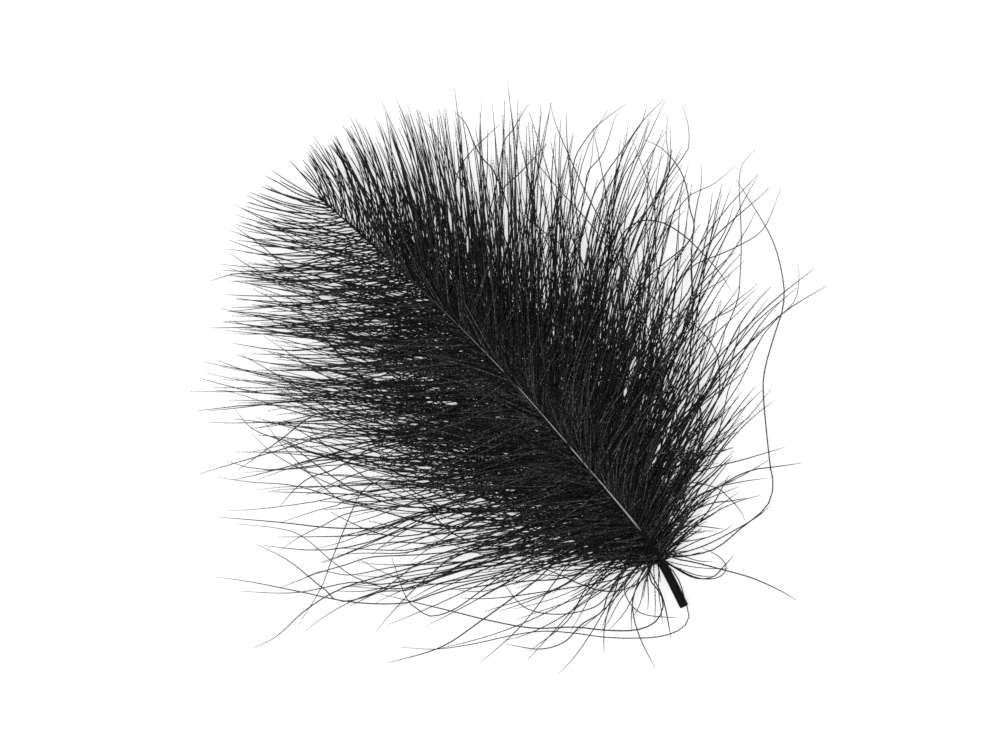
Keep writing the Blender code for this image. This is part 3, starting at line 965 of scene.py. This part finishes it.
# Points of a loose barb, the range of its thickness and of its barbules, how low and high it rests
# and where along it it has come down.
LOOSE_BARB_POINTS = 40
LOOSE_BARB_THICKNESS = (0.95, 1.3)
LOOSE_BARB_FUZZ = (0.4, 0.8)
LOOSE_BARBS_REST_MM = (0.08, 0.7)
LOOSE_BARBS_LAND = (0.4, 0.8)


def loose_barbs(rng):
    """The loose barbs that stray from the vanes, lying low on the surface."""
    lines = []
    for route in LOOSE_BARBS_PX:
        plan = np.array([from_photo(x, y) for x, y in route])
        gaps = np.linalg.norm(SHAFT_LINE[:, None, :2] - plan[None, :1], axis=2)
        root_height = SHAFT_LINE[gaps[:, 0].argmin(), 2]
        rest = rng.uniform(*LOOSE_BARBS_REST_MM)
        share = np.linspace(0, 1, len(plan))
        height = root_height + (rest - root_height) * eased(share / rng.uniform(*LOOSE_BARBS_LAND))
        lines.append(smooth_line(np.column_stack((plan, height)), LOOSE_BARB_POINTS))
    lines = np.array(lines)
    lines[:, :, 2] = np.maximum(lines[:, :, 2], LOWEST_MM)
    count = len(lines)
    thickness = rng.uniform(*LOOSE_BARB_THICKNESS, count)
    tone = rng.random(count)
    return Barbs(lines, thickness, tone, rng.uniform(*LOOSE_BARB_FUZZ, count))


# Floor, light and camera


# The floor, the sky, the lamp and the camera. The glow makes the floor as white as the photograph's.
FLOOR_HALF_M = 1.5
FLOOR_GLOW = 0.64
SKY_STRENGTH = 0.85
LAMP_PLACE_M = (-0.25, 0.20, 0.65)
LAMP_WIDTH_M = 0.35
LAMP_WATTS = 1.6
CAMERA_HEIGHT_M = 1.2
SENSOR_MM = 36.0


def pale_floor():
    """A plain white floor that glows a little."""
    mesh = bmesh.new()
    bmesh.ops.create_grid(mesh, x_segments=1, y_segments=1, size=FLOOR_HALF_M)
    data = bpy.data.meshes.new("floor")
    mesh.to_mesh(data)
    mesh.free()
    finish = Finish("white_floor")
    finish.feed(
        Base_Color=(0.45, 0.45, 0.45, 1),
        Roughness=0.9,
        Specular_IOR_Level=0.1,
        Emission_Color=(1, 1, 1, 1),
        Emission_Strength=FLOOR_GLOW,
    )
    data.materials.append(finish.material)
    floor = bpy.data.objects.new("floor", data)
    bpy.context.scene.collection.objects.link(floor)


def soft_light():
    """An even white sky and one soft lamp, above the feather and to the left of the picture."""
    world = bpy.data.worlds.new("studio")
    bpy.context.scene.world = world
    world.use_nodes = True
    sky = world.node_tree.nodes["Background"]
    sky.inputs["Color"].default_value = (1.0, 1.0, 1.0, 1)
    sky.inputs["Strength"].default_value = SKY_STRENGTH
    bpy.context.scene.view_settings.view_transform = "Standard"
    lamp = bpy.data.lights.new("key", "AREA")
    lamp.shape = "DISK"
    lamp.size = LAMP_WIDTH_M
    lamp.energy = LAMP_WATTS
    key = bpy.data.objects.new("key", lamp)
    key.location = LAMP_PLACE_M
    key.rotation_euler = (-Vector(key.location)).to_track_quat("-Z", "Y").to_euler()
    bpy.context.scene.collection.objects.link(key)


def camera_above():
    """The photograph's camera: straight above its middle, far off through a long lens."""
    x, y = from_photo(*PHOTO_MIDDLE_PX)
    data = bpy.data.cameras.new("camera")
    data.sensor_width = SENSOR_MM
    data.lens = SENSOR_MM * CAMERA_HEIGHT_M / (PHOTO_WIDTH_PX * PIXEL_MM * MM)
    camera = bpy.data.objects.new("camera", data)
    camera.location = ((x - MIDDLE_MM[0]) * MM, (y - MIDDLE_MM[1]) * MM, CAMERA_HEIGHT_M)
    camera.rotation_euler = (0, 0, -PLAN_TURN)
    bpy.context.scene.collection.objects.link(camera)
    bpy.context.scene.camera = camera


def feather():
    """The whole feather: its shaft, both vanes, the fan round its foot and its loose barbs."""
    rng = np.random.default_rng(SEED)
    down = down_finish()
    model_shaft(shaft_finish())
    for name, rows, side in (("left", LEFT_VANE, -1), ("right", RIGHT_VANE, 1)):
        vane = comb_vane(rows, side, rng)
        thirds = np.array_split(np.arange(len(vane.lines)), 3)
        for part, chosen in zip(("base", "middle", "tip"), thirds):
            fluffy_piece(f"{name}_down_{part}", vane.some(chosen), down, rng)
        down_piece(f"{name}_underdown", [rods(under_vane(rows, side, rng))], down)
    left_fan = foot_fan(LEFT_FAN, -1, LEFT_FAN_BARBS, rng)
    right_fan = foot_fan(RIGHT_FAN, 1, RIGHT_FAN_BARBS, rng)
    fluffy_piece("foot_fan", gathered([left_fan, right_fan]), down, rng)
    fluffy_piece("loose_barbs", loose_barbs(rng), down, rng)


feather()
pale_floor()
soft_light()
camera_above()
